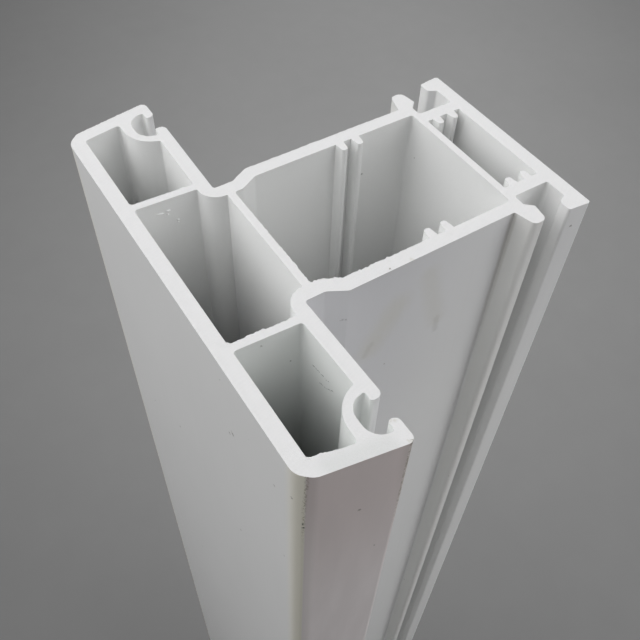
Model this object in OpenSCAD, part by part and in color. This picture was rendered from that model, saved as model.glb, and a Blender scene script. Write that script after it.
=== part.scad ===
// Window frame profile section: a sawn length of white T-shaped mullion extrusion, standing on end.
// X runs through the depth of the section, from the flange face to the bead face.
// Y runs across its width, and the section is drawn about its middle plane, Y = 0.
// Z runs along the bar, and the origin is at the middle of the lower sawn end.

/* [Bar] */
// Length of the bar between its two sawn ends
bar_length = 300; // [100:1:6000]
// Depth of the section, from the flange face to the bead face
section_depth = 60; // [58:0.5:90]

/* [Flange] */
// Width of the flange across its front face
flange_width = 68.4; // [66:0.2:100]
// Thickness of the flange from its face to its back, beside the stem
flange_thickness = 14.1; // [13.2:0.1:15.5]
// Lean of the two end walls, which makes the flange wider at its back
end_lean = 10; // [6:0.5:14]
// Lean of the back faces, which makes the arms deeper towards their lips
back_lean = 1; // [0:0.1:2]
// Width of the bevel on the two front corners
front_bevel_width = 1.3; // [0.6:0.1:2]
// Depth of that bevel from the front face
front_bevel_depth = 1.8; // [1:0.1:2.4]
// Radius of the bevel's two edges
front_bevel_radius = 2.4; // [0.4:0.1:2.8]
// Radius of the two back corners, outside the lips
back_corner_radius = 0.9; // [0.4:0.1:1.2]
// Distance between the two webs inside the flange
flange_web_spacing = 29.1; // [28.6:0.1:34]
// Lean of both flange webs towards the same side
flange_web_lean = 3; // [0:0.5:4]

/* [Walls] */
// Thickness of the flange's front and end walls
face_wall = 2.3; // [1.8:0.1:3]
// Thickness of the arms' back walls
back_wall = 2.1; // [1.6:0.1:2.6]
// Thickness of the stem's side walls
stem_wall = 2.2; // [1.6:0.1:3]
// Thickness of the bead face wall
bead_wall = 2.4; // [1.6:0.1:3]
// Thickness of the thin webs between the chambers
web = 1.2; // [0.8:0.1:1.6]
// Radius in the corners of the chambers
chamber_radius = 0.5; // [0.2:0.1:0.6]

/* [Gasket grooves] */
// Width of the groove behind its lips
groove_width = 6.1; // [5.6:0.1:6.8]
// Depth of the groove behind its lips
groove_depth = 2.8; // [2.4:0.1:3.2]
// Width of the mouth between the lips
groove_mouth = 3.1; // [2.4:0.1:3.6]
// Thickness of the lips
groove_lip = 1.4; // [1:0.1:1.6]
// Thickness of the curved wall round the groove, in front of its floor
groove_wall = 1.6; // [1.2:0.1:1.8]
// Outer radius of that curved wall
groove_wall_radius = 5; // [3:0.1:5.5]
// Lean of that curved wall where it runs into the arm's back wall
groove_wall_lean = 20; // [10:1:25]
// Radius of the groove's two round corners
groove_radius = 2.6; // [1:0.1:2.6]
// Wall left between the groove and the outside of the flange end, at the lips
groove_end_wall = 2.2; // [1.6:0.1:3]

/* [Stem] */
// Width of the stem
stem_width = 28.2; // [27:0.2:32]
// Width of the neck where the stem leaves the flange
neck_width = 25.2; // [24:0.2:26.4]
// Thickness of the neck's walls
neck_wall = 2.2; // [1.8:0.1:2.8]
// Length of the straight neck
neck_length = 3.2; // [2.8:0.1:4.5]
// Length over which the neck widens to the stem
jog_length = 2.8; // [2:0.1:5]
// Radius of the bends in the neck
jog_radius = 0.8; // [0.4:0.1:2]
// Distance of the neck web behind the flange's back
neck_web_setback = 1.1; // [0.4:0.05:1.3]

/* [Screw ribs] */
// Distance from the flange face to the middle of the stem's rib pairs
stem_rib_station = 37.2; // [28:0.1:42]
// Distance between the two ribs of a pair
rib_pitch = 2.9; // [2.4:0.1:3.2]
// Width of a rib at its root
rib_root = 1.5; // [1.1:0.1:1.8]
// Width of a rib at its tip
rib_tip = 0.95; // [0.6:0.05:1]
// Height of the ribs in the stem chamber
stem_rib_height = 1.8; // [1:0.1:2.4]
// Height of the ribs in the bead chamber
bead_rib_height = 1.6; // [1:0.1:2]

/* [Bead end] */
// Depth of the chamber behind the bead face
bead_chamber_depth = 6.5; // [6.2:0.1:8]
// Width of the chamber behind the bead face
bead_chamber_width = 18.7; // [16:0.1:20]
// Thickness of the wall between that chamber and a bead groove
bead_groove_wall = 2.15; // [1.6:0.05:2.6]
// Width of the bead face
bead_face_width = 36.5; // [35:0.1:40]
// Lean of the two ends of the bead face
bead_end_lean = 6; // [0:0.5:10]
// Reach of the hooks in front of the bead face wall
hook_reach = 1.5; // [0.8:0.1:2]
// Height of the hooks
hook_height = 3.1; // [2.4:0.1:3.6]
// Reach of the tongues beyond the stem's sides
tongue_reach = 3.45; // [2.6:0.05:4]
// Width of a tongue at its tip
tongue_tip = 2.2; // [1.8:0.1:2.4]
// Reach of the barb on a tongue into the bead groove
barb_reach = 1.25; // [0.8:0.05:1.5]

/* [Hidden] */

// Largest turn between neighbouring points of a rounded corner, in degrees
arc_step = 10;
// Overlap that joins a rib to the wall it stands on
weld = 0.4;
// Radius of the small folds in the section
fold_radius = 0.3;
// Radius of its fine outer edges
edge_radius = 0.45;
// Length of wall that a small fold needs beside a larger round
fold_room = 0.33;
// Share of a tip's width taken by each of its two rounded edges
tip_share = 0.47;
// Share of a lip's thickness taken by the round on its back edge
lip_back_share = 0.62;
// Share of a lip's thickness taken by the round on its front edge
lip_front_share = 0.32;

// Places along the depth of the section
arm_inside = flange_thickness - back_wall;
neck_web_front = flange_thickness + neck_web_setback;
neck_web_back = neck_web_front + web;
jog_start = flange_thickness + neck_length;
jog_end = jog_start + jog_length;
jog_angle = atan2(stem_width - neck_width, 2 * jog_length);
jog_shift = neck_wall * tan(jog_angle / 2);
bead_inside = section_depth - bead_wall;
bead_chamber_front = bead_inside - bead_chamber_depth;
stem_chamber_back = bead_chamber_front - web;
lip_front = flange_thickness - groove_lip;
groove_floor = lip_front - groove_depth;
ring_front = groove_floor - groove_wall;

// Places across the width of the section, from the middle plane
flange_half = flange_width / 2;
neck_half = neck_width / 2;
neck_inside = neck_half - neck_wall;
stem_half = stem_width / 2;
stem_inside = stem_half - stem_wall;
bead_half = bead_face_width / 2;
bead_chamber_half = bead_chamber_width / 2;
bead_groove_floor = bead_chamber_half + bead_groove_wall;
groove_outer = end_line(lip_front) - groove_end_wall;
groove_inner = groove_outer - groove_width;
mouth_outer = (groove_outer + groove_inner + groove_mouth) / 2;
mouth_inner = mouth_outer - groove_mouth;
ring_inner = groove_inner - groove_wall;
hook_inner = bead_half - hook_height;
tongue_end = stem_half + tongue_reach;

// Outside of the flange's end wall at depth x, and its inside, a wall further in
function end_line(x) = flange_half + x * tan(end_lean);
function end_inside(x) = end_line(x) - face_wall / cos(end_lean);

// Back face of an arm at a distance y from the middle plane, and the inside of its wall
function arm_back(y) = flange_thickness + (y - neck_half) * tan(back_lean);
function arm_inner_face(y) = arm_back(y) - back_wall;

// End of the bead face at depth x
function bead_end(x) = bead_half - (section_depth - x) * tan(bead_end_lean);

// Middle line of a flange web at depth x, on the +Y or the -Y side
function web_line(side, x) =
    side * flange_web_spacing / 2 - (x - (face_wall + arm_inside) / 2) * tan(flange_web_lean);

// Unit vector along v
function unit(v) = v / norm(v);

// Corner b of an outline, an [x, y, radius], as the points of an arc that joins the edges to a and c
function corner_arc(a, b, c) =
    let (
        corner = [b.x, b.y],
        to_a = unit([a.x, a.y] - corner),
        to_c = unit([c.x, c.y] - corner),
        half_angle = acos(to_a * to_c) / 2,
        first = corner + to_a * b.z / tan(half_angle),
        centre = corner + unit(to_a + to_c) * b.z / sin(half_angle),
        start = atan2(first.y - centre.y, first.x - centre.x),
        turn = (180 - 2 * half_angle) * sign(to_c.x * to_a.y - to_c.y * to_a.x),
        steps = ceil(abs(turn) / arc_step)
    )
    b.z == 0 ? [corner] : [for (i = [0:steps])
        let (angle = start + turn * i / steps) centre + b.z * [cos(angle), sin(angle)]];

// Points of a closed outline with every corner rounded by its own radius
function rounded(corners) =
    let (count = len(corners))
    [for (i = [0:count - 1])
        each corner_arc(corners[(i + count - 1) % count], corners[i], corners[(i + 1) % count])];

// The same corners in the opposite order
function reversed(corners) = [for (i = [len(corners) - 1:-1:0]) corners[i]];

// Corners of one half followed by their mirror image in the middle plane
function both_sides(half) = concat(half, reversed([for (corner = half) [corner.x, -corner.y, corner.z]]));

// Bevelled front corner of the flange, whose two rounds share the length of the bevel
function front_corners() =
    let (
        first = [0, flange_half - front_bevel_width],
        second = [front_bevel_depth, end_line(front_bevel_depth)],
        first_turn = atan2(second.x - first.x, second.y - first.y),
        second_turn = 90 - end_lean - first_turn,
        room = (norm(second - first) - fold_room) / (tan(first_turn / 2) + tan(second_turn / 2)),
        radius = min(front_bevel_radius, room)
    )
    [[first.x, first.y, radius], [second.x, second.y, radius]];

// Flange end, its two lips and the gasket groove between them
function gasket_corners() =
    let (
        back_edge = groove_lip * lip_back_share,
        front_edge = groove_lip * lip_front_share,
        bend = min(groove_radius, groove_depth - fold_room)
    )
    [
        [flange_thickness, end_line(flange_thickness), back_corner_radius],
        [flange_thickness, mouth_outer, back_edge],
        [lip_front, mouth_outer, front_edge],
        [lip_front, groove_outer, fold_radius],
        [groove_floor, groove_outer, bend],
        [groove_floor, groove_inner, bend],
        [lip_front, groove_inner, fold_radius],
        [lip_front, mouth_inner, front_edge],
        [arm_back(mouth_inner), mouth_inner, back_edge]
    ];

// Neck and outside of the stem
function stem_corners() = [
    [flange_thickness, neck_half, edge_radius],
    [jog_start, neck_half, jog_radius],
    [jog_end, stem_half, jog_radius]
];

// Tongue, bead groove and hooked end of the bead face
function bead_corners() =
    let (
        tongue_edge = tongue_tip * tip_share,
        barb_tip = bead_chamber_front + barb_reach,
        tip_back = barb_tip - edge_radius,
        tongue_root = tip_back - tongue_tip - 2 * edge_radius,
        hook_tip = bead_inside - hook_reach
    )
    [
        [tongue_root, stem_half, fold_radius],
        [tip_back - tongue_tip, tongue_end, tongue_edge],
        [tip_back, tongue_end, tongue_edge],
        [barb_tip, stem_half + edge_radius, fold_radius],
        [bead_chamber_front, stem_half - barb_reach / 2, fold_radius],
        [bead_chamber_front, bead_groove_floor, edge_radius],
        [bead_inside, bead_groove_floor, edge_radius],
        [bead_inside, hook_inner, edge_radius],
        [hook_tip, hook_inner + hook_reach / 2, 2 * edge_radius],
        [hook_tip, bead_end(hook_tip), edge_radius],
        [section_depth, bead_half, edge_radius]
    ];

// Outside of the whole section
module outline() {
    polygon(rounded(both_sides(concat(front_corners(), gasket_corners(), stem_corners(), bead_corners()))));
}

// Chamber in the end of the flange on one side, wrapped round the gasket groove
module end_chamber(side) {
    ring_depth = arm_inner_face(ring_inner) - ring_front;
    ring_room = (ring_depth - fold_room) / cos(groove_wall_lean);
    ring_radius = min(groove_wall_radius, ring_room * tan(45 + groove_wall_lean / 2));
    polygon(rounded([
        [face_wall, side * web_line(side, face_wall) + web / 2, chamber_radius],
        [face_wall, end_inside(face_wall), chamber_radius],
        [ring_front, end_inside(ring_front), chamber_radius],
        [ring_front, ring_inner + ring_depth * tan(groove_wall_lean), ring_radius],
        [arm_inner_face(ring_inner), ring_inner, fold_radius],
        [arm_inside, side * web_line(side, arm_inside) + web / 2, chamber_radius]
    ]));
}

// Corners of the middle chamber on the +Y or the -Y side, from the face wall to the neck web
function middle_corners(side) =
    let (
        bend_room = web_line(1, arm_inside) - web / 2 - neck_inside - fold_room,
        bend_radius = min(neck_web_front - arm_inside, bend_room)
    )
    [
        [face_wall, web_line(side, face_wall) - side * web / 2, chamber_radius],
        [arm_inside, web_line(side, arm_inside) - side * web / 2, fold_radius],
        [arm_inside, side * neck_inside, bend_radius],
        [neck_web_front, side * neck_inside, 0]
    ];

// Chamber in the middle of the flange, between its webs, closed at the back by the neck web
module middle_chamber() {
    polygon(rounded(concat(middle_corners(1), reversed(middle_corners(-1)))));
}

// Pairs of tapered ribs that guide a screw, on the two walls at a distance y from the middle plane
module rib_pairs(station, y, height) {
    for (x = [station - rib_pitch / 2, station + rib_pitch / 2], side = [0, 1])
        mirror([0, side])
            translate([x, y])
                polygon(rounded([
                    [-rib_root / 2, weld, 0],
                    [-rib_root / 2, 0, 0],
                    [-rib_tip / 2, -height, rib_tip * tip_share],
                    [rib_tip / 2, -height, rib_tip * tip_share],
                    [rib_root / 2, 0, 0],
                    [rib_root / 2, weld, 0]
                ]));
}

// Chamber in the stem, which takes the steel reinforcement, with its ribs left standing
module stem_chamber() {
    difference() {
        polygon(rounded(both_sides([
            [neck_web_back, neck_inside, chamber_radius],
            [jog_start + jog_shift, neck_inside, jog_radius],
            [jog_end + jog_shift, stem_inside, jog_radius],
            [stem_chamber_back, stem_inside, chamber_radius]
        ])));
        rib_pairs(stem_rib_station, stem_inside, stem_rib_height);
    }
}

// Chamber behind the bead face, between the two bead grooves, with its ribs left standing
module bead_chamber() {
    difference() {
        polygon(rounded(both_sides([
            [bead_chamber_front, bead_chamber_half, fold_radius],
            [bead_inside, bead_chamber_half, fold_radius]
        ])));
        rib_pairs(bead_inside - bead_chamber_depth / 2, bead_chamber_half, bead_rib_height);
    }
}

// Whole cross-section
module section() {
    difference() {
        outline();
        end_chamber(1);
        mirror([0, 1]) end_chamber(-1);
        middle_chamber();
        stem_chamber();
        bead_chamber();
    }
}

// The extruded bar
module frame_profile() {
    color("whitesmoke")
        linear_extrude(bar_length)
            translate([-section_depth / 2, 0])
                section();
}

frame_profile();
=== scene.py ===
import math

import bmesh
import bpy
from mathutils import Matrix, Vector, noise


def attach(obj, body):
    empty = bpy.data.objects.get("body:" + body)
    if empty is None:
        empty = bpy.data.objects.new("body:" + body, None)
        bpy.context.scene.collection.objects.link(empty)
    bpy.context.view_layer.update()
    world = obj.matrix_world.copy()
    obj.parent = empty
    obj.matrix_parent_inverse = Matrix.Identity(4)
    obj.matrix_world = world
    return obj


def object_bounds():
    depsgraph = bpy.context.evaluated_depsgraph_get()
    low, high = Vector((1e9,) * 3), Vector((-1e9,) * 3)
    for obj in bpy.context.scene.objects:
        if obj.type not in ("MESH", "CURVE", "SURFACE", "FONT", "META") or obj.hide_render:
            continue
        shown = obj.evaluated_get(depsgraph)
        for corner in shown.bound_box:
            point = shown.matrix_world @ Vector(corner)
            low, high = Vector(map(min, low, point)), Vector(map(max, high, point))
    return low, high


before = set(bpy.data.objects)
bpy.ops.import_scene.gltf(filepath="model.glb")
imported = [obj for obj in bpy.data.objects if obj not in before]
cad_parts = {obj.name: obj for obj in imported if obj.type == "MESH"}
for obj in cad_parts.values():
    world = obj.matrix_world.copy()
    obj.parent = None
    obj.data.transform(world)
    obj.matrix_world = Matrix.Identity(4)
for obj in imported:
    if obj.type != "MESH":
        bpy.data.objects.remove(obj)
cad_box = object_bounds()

MM = 0.001
low, high = cad_box
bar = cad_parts["frame_profile"]
length = high.z

# Camera of the photograph, solved from the straight edges of the sawn end
LENS = 42.88
SENSOR = 36.0
EYE = Vector((-50.23, -66.01, 75.06)) * MM + Vector((0, 0, length))
RIGHT = Vector((0.8416, -0.5394, 0.0275))
FORWARD = Vector((0.3563, 0.5163, -0.7788))

# Strength of the even light from all round, and grey of the backdrop that hides it from the camera
WORLD_LIGHT = 0.04
BACKDROP = (0.22, 0.222, 0.222, 1)

# Height that the lamps are turned to, as a share of the bar's length
LIT_HEIGHT = 0.93

# Soft lamps: name, direction from the bar, distance, size and power
LAMPS = (
    ("left_front", (-0.7, -0.1, 0.7), 0.6, 0.5, 0.8),
    ("left_back", (-0.8, 0.5, 0.6), 0.4, 0.4, 0.92),
    ("right_front", (0.6, -0.5, 0.65), 0.6, 0.5, 1.03),
    ("right_top", (0.62, 0.15, 0.75), 0.45, 0.4, 0.61),
    ("low_front", (0.6, -1, -0.1), 0.35, 0.3, 0.38),
    ("back", (0.6, 0.8, 0.25), 1.2, 1.0, 6.1),
)

# Floor in metres: half its width, its patch of painted light, and the ring in which it turns into the
# backdrop
FLOOR_HALF = 3.0
PAINTED_LIGHT_MIDDLE = (0.294, 0.339, 0)
PAINTED_LIGHT_RADIUS = 0.6
FADE_MIDDLE = (0.2, 0.24, 0)
FADE_START = 0.42
FADE_END = 0.65

# Greys of the floor at its edge and in the middle of the patch of painted light
EDGE_TONE = 0.22
PAINTED_LIGHT_TONE = 0.435

# Places on the section in millimetres: depths from the flange face, widths from the middle plane
FLANGE_HALF = 34.2
END_SLOPE = math.tan(math.radians(10))
NECK_WEB_BACK = 16.4
STEM_HALF = 14.1
STEM_START = 20.1
TONGUE_ROOT = 48.8
TONGUE_BACK = 52.2
WEB_FACE = 13.95
WEB_MIDDLE = 7.15
WEB_SLOPE = math.tan(math.radians(3))

# Places inside the walls in millimetres, where the skin outside gives way to the one in the chambers
FACE_WALL = 1.2
BACK_WALL = 13.1
BEAD_WALL = 58.8
END_WALL = 33.0
STEM_WALL = 12.275
NEAR_WEB = -14.55

# Burrs in millimetres: spacing of their rings, how deep and how far down they are rooted, and the least tear
BURR_STEP = 0.08
BURR_ROOT = 0.1
BURR_DROP = 0.25
BURR_LEAST = 0.015

# Slivers of swarf in millimetres: thickness, and both ends of each as depth and height on the far web
SLIVER_SIZE = 0.16
SLIVERS = (
    ((5.3, -2.1), (6.6, -2.4)),
    ((6.9, -2.05), (7.6, -2.2)),
    ((6.8, -2.7), (7.3, -2.85)),
    ((8.2, -4.4), (8.75, -4.5)),
    ((8.3, -4.85), (8.7, -5.0)),
)


def add_camera():
    """The photograph's view of the upper sawn end."""
    data = bpy.data.cameras.new("camera")
    data.lens = LENS
    data.sensor_width = SENSOR
    data.clip_start = 5 * MM
    data.clip_end = 20
    camera = bpy.data.objects.new("camera", data)
    bpy.context.scene.collection.objects.link(camera)
    back = -FORWARD.normalized()
    right = (RIGHT - back * RIGHT.dot(back)).normalized()
    up = back.cross(right)
    camera.matrix_world = Matrix.Translation(EYE) @ Matrix((right, up, back)).transposed().to_4x4()
    bpy.context.scene.camera = camera


def add_lamp(name, direction, distance, size, power):
    """A square soft lamp, seen in a direction from the upper part of the bar and turned towards it."""
    target = Vector((0, 0, LIT_HEIGHT * length))
    data = bpy.data.lights.new(name, "AREA")
    data.shape = "SQUARE"
    data.size = size
    data.energy = power
    lamp = bpy.data.objects.new(name, data)
    bpy.context.scene.collection.objects.link(lamp)
    lamp.location = target + distance * Vector(direction).normalized()
    lamp.rotation_euler = (target - lamp.location).to_track_quat("-Z", "Y").to_euler()


def seen_directly(nodes, links):
    """1 for what the camera sees straight or in a reflection, 0 for light that falls on a surface."""
    path = nodes.new("ShaderNodeLightPath")
    total = path.outputs["Is Camera Ray"]
    for name in ("Is Glossy Ray", "Is Transmission Ray"):
        add = nodes.new("ShaderNodeMath")
        add.use_clamp = True
        links.new(total, add.inputs[0])
        links.new(path.outputs[name], add.inputs[1])
        total = add.outputs[0]
    return total


def add_world(strength):
    """Even light from all round, behind a plain grey backdrop."""
    world = bpy.data.worlds.new("world")
    world.use_nodes = True
    bpy.context.scene.world = world
    nodes, links = world.node_tree.nodes, world.node_tree.links
    light = nodes["Background"]
    light.inputs["Color"].default_value = (1, 1, 1, 1)
    light.inputs["Strength"].default_value = strength
    backdrop = nodes.new("ShaderNodeBackground")
    backdrop.inputs["Color"].default_value = BACKDROP
    choice = nodes.new("ShaderNodeMixShader")
    links.new(seen_directly(nodes, links), choice.inputs["Fac"])
    links.new(light.outputs[0], choice.inputs[1])
    links.new(backdrop.outputs[0], choice.inputs[2])
    links.new(choice.outputs[0], nodes["World Output"].inputs["Surface"])


class Graph:
    """Short names for building a material's nodes."""

    def __init__(self, name):
        self.material = bpy.data.materials.new(name)
        self.material.use_nodes = True
        self.nodes = self.material.node_tree.nodes
        self.links = self.material.node_tree.links
        self.shader = self.nodes["Principled BSDF"]

    def feed(self, socket, value):
        """Links a socket to an output, or sets it to a value."""
        if isinstance(value, bpy.types.NodeSocket):
            self.links.new(value, socket)
        else:
            socket.default_value = value

    def math(self, operation, a, b=0.0, clamp=False):
        node = self.nodes.new("ShaderNodeMath")
        node.operation = operation
        node.use_clamp = clamp
        self.feed(node.inputs[0], a)
        self.feed(node.inputs[1], b)
        return node.outputs[0]

    def product(self, *factors):
        result = factors[0]
        for factor in factors[1:]:
            result = self.math("MULTIPLY", result, factor)
        return result

    def greatest(self, *values):
        result = values[0]
        for value in values[1:]:
            result = self.math("MAXIMUM", result, value)
        return result

    def vector(self, operation, a, b, output="Vector"):
        node = self.nodes.new("ShaderNodeVectorMath")
        node.operation = operation
        self.feed(node.inputs[0], a)
        self.feed(node.inputs[1], b)
        return node.outputs[output]

    def scaled(self, vector, factor):
        node = self.nodes.new("ShaderNodeVectorMath")
        node.operation = "SCALE"
        self.feed(node.inputs[0], vector)
        self.feed(node.inputs["Scale"], factor)
        return node.outputs["Vector"]

    def split(self, vector):
        node = self.nodes.new("ShaderNodeSeparateXYZ")
        self.feed(node.inputs[0], vector)
        return node.outputs

    def ramp(self, value, start, end):
        """Smooth step: 0 at start, 1 at end, whichever of them is larger."""
        node = self.nodes.new("ShaderNodeMapRange")
        node.interpolation_type = "SMOOTHSTEP"
        rising = start < end
        self.feed(node.inputs["Value"], value)
        node.inputs["From Min"].default_value = min(start, end)
        node.inputs["From Max"].default_value = max(start, end)
        node.inputs["To Min"].default_value = 0.0 if rising else 1.0
        node.inputs["To Max"].default_value = 1.0 if rising else 0.0
        return node.outputs["Result"]

    def below(self, value, limit, soft):
        """1 below the limit, which fades to 0 over soft on either side of it."""
        return self.ramp(value, limit + soft, limit - soft)

    def within(self, value, start, end, soft):
        """1 between start and end, which fades to 0 over soft on either side of both."""
        after_start = self.ramp(value, start - soft, start + soft)
        return self.product(after_start, self.below(value, end, soft))

    def noise(self, vector, scale, detail=2.0, roughness=0.5, output="Fac"):
        node = self.nodes.new("ShaderNodeTexNoise")
        self.feed(node.inputs["Vector"], vector)
        node.inputs["Scale"].default_value = scale
        node.inputs["Detail"].default_value = detail
        node.inputs["Roughness"].default_value = roughness
        return node.outputs[output]

    def mix(self, factor, a, b):
        """Blends two colours."""
        node = self.nodes.new("ShaderNodeMix")
        node.data_type = "RGBA"
        self.feed(node.inputs[0], factor)
        self.feed(node.inputs[6], a)
        self.feed(node.inputs[7], b)
        return node.outputs[2]

    def mix_value(self, factor, a, b):
        """Blends two numbers."""
        node = self.nodes.new("ShaderNodeMix")
        self.feed(node.inputs[0], factor)
        self.feed(node.inputs[2], a)
        self.feed(node.inputs[3], b)
        return node.outputs[0]

    def near_line(self, point, start, end, inner, outer):
        """1 within inner of the segment from start to end, fading to 0 at outer."""
        start, end = Vector(start), Vector(end)
        along = end - start
        offset = self.vector("SUBTRACT", point, start)
        reached = self.vector("DOT_PRODUCT", offset, along, "Value")
        share = self.math("DIVIDE", reached, along.length_squared, clamp=True)
        gap = self.vector("DISTANCE", offset, self.scaled(along, share), "Value")
        return self.ramp(gap, outer, inner)

    def near_lines(self, point, segments, inner, outer):
        """The greatest of near_line for several segments."""
        return self.greatest(*[self.near_line(point, start, end, inner, outer) for start, end in segments])

    def spot(self, point, centre, radius):
        """1 at the centre, fading to 0 at the radius."""
        return self.ramp(self.vector("DISTANCE", point, centre, "Value"), radius, 0.4 * radius)


class Skin(Graph):
    """The PVC's nodes. Places are in mm: x from the flange face, y from the middle, z from the top end."""

    def __init__(self, name):
        super().__init__(name)
        coordinates = self.nodes.new("ShaderNodeTexCoord")
        in_mm = self.scaled(coordinates.outputs["Object"], 1 / MM)
        self.place = self.vector("SUBTRACT", in_mm, (low.x / MM, 0, length / MM))
        self.x, self.y, self.z = self.split(self.place)
        self.across = self.math("ABSOLUTE", self.y)
        self.near = self.ramp(self.y, 0.5, -0.5)
        self.end_reach = self.math("SUBTRACT", self.across, self.product(self.x, END_SLOPE))
        from_base = self.math("ADD", self.z, length / MM)
        self.from_end = self.math("MINIMUM", self.math("ABSOLUTE", self.z), from_base)
        normal = self.split(coordinates.outputs["Normal"])
        self.side = self.math("ABSOLUTE", normal["Y"])
        self.sawn = self.ramp(self.math("ABSOLUTE", normal["Z"]), 0.6, 0.8)
        jitter = self.vector("SUBTRACT", self.noise(self.place, 1.6, output="Color"), (0.5, 0.5, 0.5))
        self.shaken = self.vector("ADD", self.place, self.scaled(jitter, 0.9))
        self.grains = self.noise(self.vector("MULTIPLY", self.shaken, (1, 1, 0.6)), 3.0, 3, 0.7)
        self.cloud = self.noise(self.place, 0.05, 4)
        self.lines = self.noise(self.vector("MULTIPLY", self.place, (1.7, 1.7, 0.012)), 1.0, 3, 0.65)

    def flat(self, point, axis):
        """The point with one of its coordinates left out, for marks on a face across that axis."""
        return self.vector("MULTIPLY", point, [float(i != axis) for i in range(3)])


def colour(r, g, b):
    return (r, g, b, 1.0)


def plain_skin(g):
    """Cloudy white with fine lines, grey painted shade on the sides by the ends and beside the stem, and
    chamber walls painted whiter as painted light.
    """
    skin = g.mix(g.cloud, colour(0.875, 0.878, 0.875), colour(0.903, 0.904, 0.902))
    skin = g.mix(g.product(g.ramp(g.lines, 0.5, 0.75), 0.18), skin, colour(0.8, 0.805, 0.803))
    # Painted shade: the sides are darker within 50 mm of each end and in the rebates beside the stem near
    # the flange, standing in for how the light falls there
    shade_by_end = g.product(g.ramp(g.from_end, 50, 0), 0.3)
    beside_stem = g.within(g.across, STEM_WALL, STEM_HALF + 0.5, 0.2)
    shade_in_rebate = g.product(beside_stem, g.ramp(g.x, 44, 22), 0.45)
    painted_shade = g.product(g.math("ADD", shade_by_end, shade_in_rebate), g.ramp(g.side, 0.5, 0.9))
    skin = g.mix(painted_shade, skin, colour(0.59, 0.59, 0.62))
    # The two overlap in the neck, so that no seam shows there
    in_flange = g.product(g.within(g.x, FACE_WALL, BACK_WALL, 0.3), g.below(g.end_reach, END_WALL, 0.2))
    in_stem = g.product(g.within(g.x, BACK_WALL - 0.7, BEAD_WALL, 0.3), g.below(g.across, STEM_WALL, 0.175))
    in_near_chamber = g.below(g.y, NEAR_WEB, 0.25)
    # Painted light: the chamber walls are whiter than the skin outside, standing in for light bouncing
    # between them; the near chamber's are a little greener
    wall = g.mix(in_near_chamber, colour(0.945, 0.95, 0.944), colour(0.905, 0.92, 0.908))
    return g.mix(g.greatest(in_flange, in_stem), skin, wall)


def with_painted_shade_on_ends(g, skin):
    """Flange ends painted darker and pinkish grey as painted shade, most by the top and the near one more,
    with a band of painted light on the round by the front corner, and front corners tinted cream.
    """
    on_end = g.product(g.ramp(g.end_reach, FLANGE_HALF - 0.9, FLANGE_HALF - 0.7), g.ramp(g.x, 0.9, 1.15))
    # Painted shade: the end faces are darker and pinkish, most at the top
    pink_painted_shade = g.mix(g.ramp(g.from_end, 50, 4), colour(0.82, 0.768, 0.77), colour(0.7, 0.623, 0.615))
    streaks = g.noise(g.vector("MULTIPLY", g.place, (1, 1, 0.15)), 0.3, 3)
    mottle = g.product(g.ramp(streaks, 0.35, 0.65), 0.2)
    painted_end = g.mix(mottle, pink_painted_shade, colour(0.6, 0.55, 0.545))
    # Painted light: a lighter band on the round by the front corner, fading out towards the top
    painted_light_on_round = g.product(g.within(g.x, 1.1, 2.2, 0.4), g.ramp(g.from_end, 0, 34), 0.55)
    painted_end = g.mix(painted_light_on_round, painted_end, colour(0.9, 0.85, 0.84))
    skin = g.mix(g.product(on_end, g.mix_value(g.near, 0.45, 1.0)), skin, painted_end)
    on_corner = g.product(g.ramp(g.across, 30.5, 33.5), g.ramp(g.x, 1.15, 0.9))
    return g.mix(on_corner, skin, colour(0.93, 0.9, 0.785))


def with_front_dirt(g, skin):
    """Faint lines of dirt along the front corners, dotted and with two black blobs on the near one."""
    drift = g.math("SUBTRACT", g.x, g.product(g.ramp(g.z, -10, -1.5), 0.22))
    line = g.product(g.within(drift, 0.74, 1.06, 0.13), g.ramp(g.across, 33, 33.4))
    dots = g.product(line, g.near, g.ramp(g.z, -24, -3), g.ramp(g.grains, 0.49, 0.6))
    skin = g.mix(g.product(line, 0.13), skin, colour(0.3, 0.26, 0.18))
    skin = g.mix(g.product(dots, 0.65), skin, colour(0.2, 0.15, 0.08))
    blobs = (
        ((0.86, -33.66, -12.25), (0.87, -33.66, -12.6)),
        ((0.97, -33.7, -13.35), (0.97, -33.7, -13.5)),
    )
    return g.mix(g.near_lines(g.shaken, blobs, 0.06, 0.24), skin, colour(0.025, 0.022, 0.02))


def with_back_dirt(g, skin):
    """Shade, dots of dirt and a dark tip along the back edge of the near flange end."""
    shade = g.product(g.within(g.x, 12.6, 13.9, 0.8), g.ramp(g.end_reach, 33.3, 33.8), g.ramp(g.z, -14, 0))
    line = g.product(g.within(g.x, 13.2, 13.85, 0.15), g.ramp(g.across, 36, 36.2), g.ramp(g.z, -26, -8))
    dots = g.product(line, g.near, g.ramp(g.grains, 0.42, 0.55))
    tip = g.spot(g.shaken, (13.75, -36.4, -0.4), 0.6)
    skin = g.mix(g.product(shade, g.near, 0.2), skin, colour(0.3, 0.28, 0.24))
    skin = g.mix(g.product(dots, 0.8), skin, colour(0.2, 0.175, 0.125))
    return g.mix(g.product(tip, 0.7), skin, colour(0.2, 0.18, 0.14))


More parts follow.
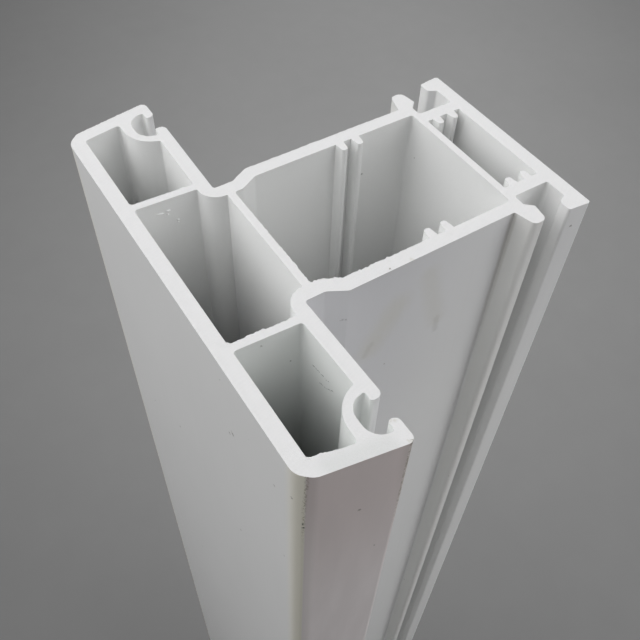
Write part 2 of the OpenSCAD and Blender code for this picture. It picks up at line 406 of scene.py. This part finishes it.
def with_smears(g, skin):
    """Two soft warm smears with darker tails on the near side of the stem, spread wide so that they also
    paint shade on the upper stem side.
    """
    on_face = g.within(g.across, STEM_HALF - 0.4, STEM_HALF + 0.5, 0.2)
    on_stem = g.product(g.near, on_face, g.within(g.x, STEM_START, TONGUE_ROOT, 0.4))
    face = g.flat(g.shaken, 1)
    patchy = g.ramp(g.noise(g.place, 0.5, 3), 0.1, 0.5)
    long = g.near_line(face, (28.9, 0, -8.8), (24.9, 0, -16.0), 0.2, 4.0)
    short = g.near_line(face, (34.2, 0, -5.0), (37.4, 0, -17.0), 0.2, 2.8)
    # Partly real smear, partly painted shade: the wide soft reach darkens the upper stem side
    broad_smear_and_shade = g.greatest(long, g.product(short, 0.7))
    tips = (((25.0, 0, -15.2), (24.0, 0, -17.3)), ((37.6, 0, -17.0), (37.9, 0, -20.0)))
    tails = g.near_lines(face, tips, 0.05, 0.9)
    skin = g.mix(g.product(broad_smear_and_shade, patchy, on_stem, 0.4), skin, colour(0.64, 0.625, 0.555))
    return g.mix(g.product(tails, on_stem, 0.25), skin, colour(0.45, 0.44, 0.41))


def with_tongue_dirt(g, skin):
    """Tongues a little yellowed, with dirt in the corners at their roots."""
    beyond_stem = g.ramp(g.across, STEM_HALF, STEM_HALF + 0.6)
    on_tongue = g.product(g.within(g.x, TONGUE_ROOT, TONGUE_BACK, 0.3), beyond_stem)
    skin = g.mix(g.product(on_tongue, 0.35), skin, colour(0.86, 0.855, 0.8))
    folded = g.vector("ABSOLUTE", g.flat(g.place, 2), (0, 0, 0))
    root = g.spot(folded, (TONGUE_ROOT, STEM_HALF, 0), 0.75)
    return g.mix(g.product(root, g.ramp(g.from_end, 45, 0), 0.3), skin, colour(0.4, 0.36, 0.28))


def with_scratches(g, skin):
    """Fine dark scratches in the near flange chamber, and a short one on the near side of the neck."""
    broken = g.ramp(g.noise(g.place, 3.5, 2), 0.4, 0.56)
    on_back = g.product(g.near, g.within(g.x, 11.6, 12.6, 0.3))
    scratches = (
        ((0, -18.0, -6.2), (0, -21.9, -5.7)),
        ((0, -19.8, -8.2), (0, -21.0, -7.8)),
        ((0, -21.0, -7.8), (0, -22.8, -6.5)),
    )
    in_chamber = g.near_lines(g.flat(g.shaken, 0), scratches, 0.02, 0.13)
    on_neck = g.near_line(g.shaken, (19.3, -13.65, -6.25), (19.95, -14.0, -5.95), 0.03, 0.22)
    scratch = g.greatest(g.product(in_chamber, broken, on_back, 0.75), g.product(on_neck, 0.45))
    return g.mix(scratch, skin, colour(0.12, 0.125, 0.12))


def with_specks(g, skin):
    """Dark specks: the plain ones in the photograph, and a sparse scatter all over."""
    # x, y, z and radius of each
    places = (
        (7.9, -35.6, -12.9, 0.4),
        (11.1, -36.2, -26.8, 0.2),
        (57.6, -18.1, -3.8, 0.35),
        (0, -15.4, -3.6, 0.25),
        (0, -17.3, -13.9, 0.4),
        (0, -28.4, -10.1, 0.3),
        (0, -32.4, -6.6, 0.25),
        (0, 6.8, -46.2, 0.35),
        (0, -16.4, -15.2, 0.3),
        (0, 20.6, -55.7, 0.35),
        (0, -16, -47.7, 0.35),
        (6.2, -15.1, -1.2, 0.3),
        (10.3, -15.3, -7.1, 0.15),
    )
    marks = g.greatest(*[g.spot(g.shaken, spot[:3], spot[3]) for spot in places])
    cells = g.nodes.new("ShaderNodeTexVoronoi")
    g.feed(cells.inputs["Vector"], g.place)
    cells.inputs["Scale"].default_value = 0.14
    chosen = g.ramp(g.split(cells.outputs["Color"])[0], 0.55, 0.65)
    scatter = g.product(g.ramp(cells.outputs["Distance"], 0.036, 0.016), chosen, 0.55)
    return g.mix(g.greatest(g.product(marks, 0.7), scatter), skin, colour(0.2, 0.185, 0.16))


def saw_arcs(g):
    """Faint arcs that the blade left on the sawn ends, from 0 to 1."""
    arcs = g.nodes.new("ShaderNodeTexWave")
    arcs.wave_type = "RINGS"
    arcs.rings_direction = "Z"
    blade_centre = (-40, 150, 0)
    g.feed(arcs.inputs["Vector"], g.vector("SUBTRACT", g.place, blade_centre))
    arcs.inputs["Scale"].default_value = 0.6
    arcs.inputs["Distortion"].default_value = 7.0
    arcs.inputs["Detail"].default_value = 4.0
    arcs.inputs["Detail Scale"].default_value = 0.5
    return arcs.outputs["Fac"]


def sawn_colour(g, arcs):
    """Sawn ends: white, duller on the near end wall, with brown stains and dark dots on the near side."""
    cut = g.mix(arcs, colour(0.893, 0.893, 0.897), colour(0.901, 0.901, 0.905))
    patches = g.ramp(g.noise(g.place, 0.9, 4, 0.65), 0.48, 0.7)
    cut = g.mix(g.product(patches, 0.3), cut, colour(0.845, 0.847, 0.846))
    dull = g.product(g.near, g.ramp(g.end_reach, 31, 33.2), g.within(g.x, 3, 12, 1))
    cut = g.mix(g.product(dull, 0.6), cut, colour(0.78, 0.795, 0.785))
    stained = ((12.95, -33.0), (13.5, -33.2), (13.3, -36.2), (30.4, -13.9))
    stains = g.greatest(*[g.spot(g.shaken, (x, y, 0), 0.4) for x, y in stained])
    cut = g.mix(g.product(stains, 0.3), cut, colour(0.6, 0.57, 0.46))
    dotted = ((13.7, -36.2), (26.9, -13.7))
    dots = g.greatest(*[g.spot(g.shaken, (x, y, 0), 0.24) for x, y in dotted])
    return g.mix(g.product(dots, 0.75), cut, colour(0.25, 0.22, 0.17))


# Marks on the skin, from the lowest to the topmost
MARKS = (
    with_painted_shade_on_ends,
    with_front_dirt,
    with_back_dirt,
    with_smears,
    with_tongue_dirt,
    with_scratches,
    with_specks,
)


def set_gloss(g, arcs):
    """Satin skin and matt sawn ends."""
    satin = g.math("ADD", g.math("ADD", 0.34, g.product(g.lines, 0.1)), g.product(g.cloud, 0.08))
    matt = g.math("ADD", 0.68, g.product(arcs, 0.08))
    g.feed(g.shader.inputs["Roughness"], g.mix_value(g.sawn, satin, matt))


def set_relief(g, arcs):
    """Fine lines along the skin, and arcs and a coarser grain on the sawn ends."""
    skin_height = g.math("ADD", g.product(g.lines, 0.4), g.product(g.noise(g.place, 3.0, 2), 0.12))
    cut_height = g.math("ADD", g.product(arcs, 0.25), g.product(g.noise(g.place, 4.0, 5, 0.7), 1.6))
    bump = g.nodes.new("ShaderNodeBump")
    bump.inputs["Distance"].default_value = 0.03 * MM
    bump.inputs["Strength"].default_value = 0.6
    g.feed(bump.inputs["Height"], g.mix_value(g.sawn, skin_height, cut_height))
    g.feed(g.shader.inputs["Normal"], bump.outputs["Normal"])


def upvc_material():
    """White rigid PVC: satin extruded skin with handling marks, and matt sawn ends."""
    g = Skin("white_upvc_skin")
    arcs = saw_arcs(g)
    skin = plain_skin(g)
    for with_mark in MARKS:
        skin = with_mark(g, skin)
    g.feed(g.shader.inputs["Base Color"], g.mix(g.sawn, skin, sawn_colour(g, arcs)))
    set_gloss(g, arcs)
    set_relief(g, arcs)
    return g.material


def floor_material():
    """Grey board, paler in the middle where a pool of light is painted, and a little uneven, that fades into
    the backdrop all round.
    """
    g = Graph("floor_grey")
    place = g.nodes.new("ShaderNodeTexCoord").outputs["Object"]
    # Painted light: the floor is lighter in a pool beyond the bar
    painted_light_pool = g.ramp(g.vector("DISTANCE", place, PAINTED_LIGHT_MIDDLE, "Value"), PAINTED_LIGHT_RADIUS, 0.0)
    tone = g.mix_value(painted_light_pool, EDGE_TONE, PAINTED_LIGHT_TONE)
    uneven = g.math("ADD", g.product(g.noise(place, 9, 4), 0.1), g.product(g.noise(place, 60, 4), 0.06))
    g.feed(g.shader.inputs["Base Color"], g.product(tone, g.math("ADD", 0.92, uneven)))
    g.shader.inputs["Roughness"].default_value = 0.9
    glow = g.nodes.new("ShaderNodeEmission")
    glow.inputs["Color"].default_value = BACKDROP
    far = g.ramp(g.vector("DISTANCE", place, FADE_MIDDLE, "Value"), FADE_START, FADE_END)
    blend = g.nodes.new("ShaderNodeMixShader")
    g.feed(blend.inputs["Fac"], g.product(far, seen_directly(g.nodes, g.links)))
    g.feed(blend.inputs[1], g.shader.outputs["BSDF"])
    g.feed(blend.inputs[2], glow.outputs["Emission"])
    g.feed(g.nodes["Material Output"].inputs["Surface"], blend.outputs["Shader"])
    return g.material


def add_floor():
    """Wide plain floor under the bar."""
    half = FLOOR_HALF
    mesh = bpy.data.meshes.new("floor")
    corners = [(-half, -half, 0), (half, -half, 0), (half, half, 0), (-half, half, 0)]
    mesh.from_pydata(corners, [], [(0, 1, 2, 3)])
    mesh.materials.append(floor_material())
    floor = bpy.data.objects.new("floor", mesh)
    bpy.context.scene.collection.objects.link(floor)


def smooth_by_angle(piece, degrees):
    """Joins the mesh's split faces and shades its rounds smoothly, with edges above the angle left sharp."""
    tree = bpy.data.node_groups.new("smooth_by_angle", "GeometryNodeTree")
    tree.interface.new_socket("Geometry", in_out="INPUT", socket_type="NodeSocketGeometry")
    tree.interface.new_socket("Geometry", in_out="OUTPUT", socket_type="NodeSocketGeometry")
    nodes, links = tree.nodes, tree.links
    source = nodes.new("NodeGroupInput")
    weld = nodes.new("GeometryNodeMergeByDistance")
    weld.inputs["Distance"].default_value = 0.001 * MM
    forget = nodes.new("GeometryNodeRemoveAttribute")
    forget.inputs["Name"].default_value = "custom_normal"
    faces = nodes.new("GeometryNodeSetShadeSmooth")
    faces.domain = "FACE"
    angle = nodes.new("GeometryNodeInputMeshEdgeAngle")
    small = nodes.new("FunctionNodeCompare")
    small.operation = "LESS_THAN"
    small.inputs["B"].default_value = math.radians(degrees)
    edges = nodes.new("GeometryNodeSetShadeSmooth")
    edges.domain = "EDGE"
    result = nodes.new("NodeGroupOutput")
    links.new(source.outputs[0], weld.inputs["Geometry"])
    links.new(weld.outputs[0], forget.inputs["Geometry"])
    links.new(forget.outputs[0], faces.inputs["Geometry"])
    links.new(faces.outputs[0], edges.inputs["Geometry"])
    links.new(angle.outputs["Unsigned Angle"], small.inputs["A"])
    links.new(small.outputs["Result"], edges.inputs["Shade Smooth"])
    links.new(edges.outputs[0], result.inputs[0])
    piece.modifiers.new("smooth_by_angle", "NODES").node_group = tree


def sawn_edges(mesh):
    """Edges of the upper sawn end as (start, end, direction into the open air), in metres."""
    level = 0.01 * MM
    found = []
    for face in mesh.polygons:
        corners = [mesh.vertices[i].co for i in face.vertices]
        on_top = [c for c in corners if c.z > length - level]
        if abs(face.normal.z) < 0.5 and len(on_top) == 2:
            found.append((on_top[0].copy(), on_top[1].copy(), face.normal.copy()))
    return found


def share(value, start, end):
    """0 at start, 1 at end, straight between them."""
    return min(1.0, max(0.0, (value - start) / (end - start)))


def faces_back(out):
    """Whether an edge's open side is towards the bead face."""
    return out.x > 0.9


def tear_reach(point, out):
    """How far the saw, which came out towards +Y, tore an edge: the steady and the ragged part, in mm."""
    x = (point.x - low.x) / MM
    y = point.y / MM
    if faces_back(out):
        on_neck_web = abs(y) < STEM_HALF and abs(x - NECK_WEB_BACK) < 0.1
        ragged = 0.22 * share(y, 8, -4) if on_neck_web else 0.0
        return 0.0, ragged
    steady = 0.0
    if y > 0:
        ragged = 0.09
    elif x > NECK_WEB_BACK - 1:
        ragged = 0.36 * share(x, 33, 29)
    elif y > -STEM_HALF - 2:
        ragged = 0.22
    else:
        steady = 0.26 * share(x, 6.0, 2.8)
        ragged = 0.16 * share(x, 7.5, 4.5)
    towards_exit = share(out.y, 0.0, 0.35)
    return steady * towards_exit, ragged * towards_exit


def torn_ring(point, out):
    """The three corners of a burr at a point of an edge, or nothing where the edge is clean."""
    in_mm = point / MM
    slow = noise.noise(in_mm / 4.5)
    teeth = max(0.0, noise.noise(in_mm / 0.9 + Vector((7, 3, 1))))
    grain = noise.noise(in_mm / 0.3 + Vector((1, 9, 4)))
    steady, ragged = tear_reach(point, out)
    tear = steady * (1 + 0.4 * slow) + ragged * (0.25 + 0.4 * slow + 1.6 * teeth + 0.5 * grain)
    if tear < BURR_LEAST:
        return None
    pull = out if faces_back(out) else Vector((0, 1, 0))
    root = point - out * BURR_ROOT * MM
    top = root + Vector((0, 0, 0.01 * MM))
    tip = point + pull * tear * MM + Vector((0, 0, 0.04 * MM * grain))
    return top, tip, root - Vector((0, 0, BURR_DROP * MM))


def torn_rings(start, end, out):
    """Runs of three-cornered rings along an edge, each run a burr of its own."""
    count = max(1, round((end - start).length / (BURR_STEP * MM)))
    runs = [[]]
    for i in range(count + 1):
        ring = torn_ring(start.lerp(end, i / count), out)
        if ring:
            runs[-1].append(ring)
        else:
            runs.append([])
    return [run for run in runs if len(run) > 1]


def on_far_web(x, z):
    """A point on the face of the far flange web that looks into the middle chamber."""
    y = WEB_FACE - (x - WEB_MIDDLE) * WEB_SLOPE
    return Vector((low.x + x * MM, y * MM, length + z * MM))


def sliver_rings(start, end, out):
    """Rings of a sliver of swarf that clings to a wall, thickest in its middle."""
    steps = 8
    side = (end - start).normalized().cross(out)
    rings = []
    for i in range(steps + 1):
        size = SLIVER_SIZE * MM * (0.2 + 0.8 * math.sin(math.pi * i / steps))
        point = start.lerp(end, i / steps)
        foot = point - out * 0.02 * MM
        rings.append((foot + side * size, point + out * size, foot - side * size))
    return rings


def add_strip(mesh, rings):
    """A closed strip through three-cornered rings."""
    rings = [[mesh.verts.new(corner) for corner in ring] for ring in rings]
    for one, two in zip(rings, rings[1:]):
        for a, b in ((0, 1), (1, 2), (2, 0)):
            mesh.faces.new((one[a], one[b], two[b], two[a]))
    mesh.faces.new(rings[0])
    mesh.faces.new(rings[-1])


def add_burrs():
    """Torn edges where the saw came out, on the upper end, and slivers of swarf on the far flange web."""
    mesh = bmesh.new()
    for start, end, out in sawn_edges(bar.data):
        for rings in torn_rings(start, end, out):
            add_strip(mesh, rings)
    for start, end in SLIVERS:
        add_strip(mesh, sliver_rings(on_far_web(*start), on_far_web(*end), Vector((0, -1, 0))))
    bmesh.ops.recalc_face_normals(mesh, faces=mesh.faces)
    data = bpy.data.meshes.new("saw_burrs")
    mesh.to_mesh(data)
    mesh.free()
    burrs = bpy.data.objects.new("saw_burrs", data)
    data.materials.append(bar.material_slots[0].material)
    bpy.context.scene.collection.objects.link(burrs)
    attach(burrs, "root")


bpy.context.scene.view_settings.view_transform = "Standard"
add_camera()
add_world(WORLD_LIGHT)
for lamp in LAMPS:
    add_lamp(*lamp)
add_floor()
bar.material_slots[0].material = upvc_material()
smooth_by_angle(bar, degrees=30)
add_burrs()
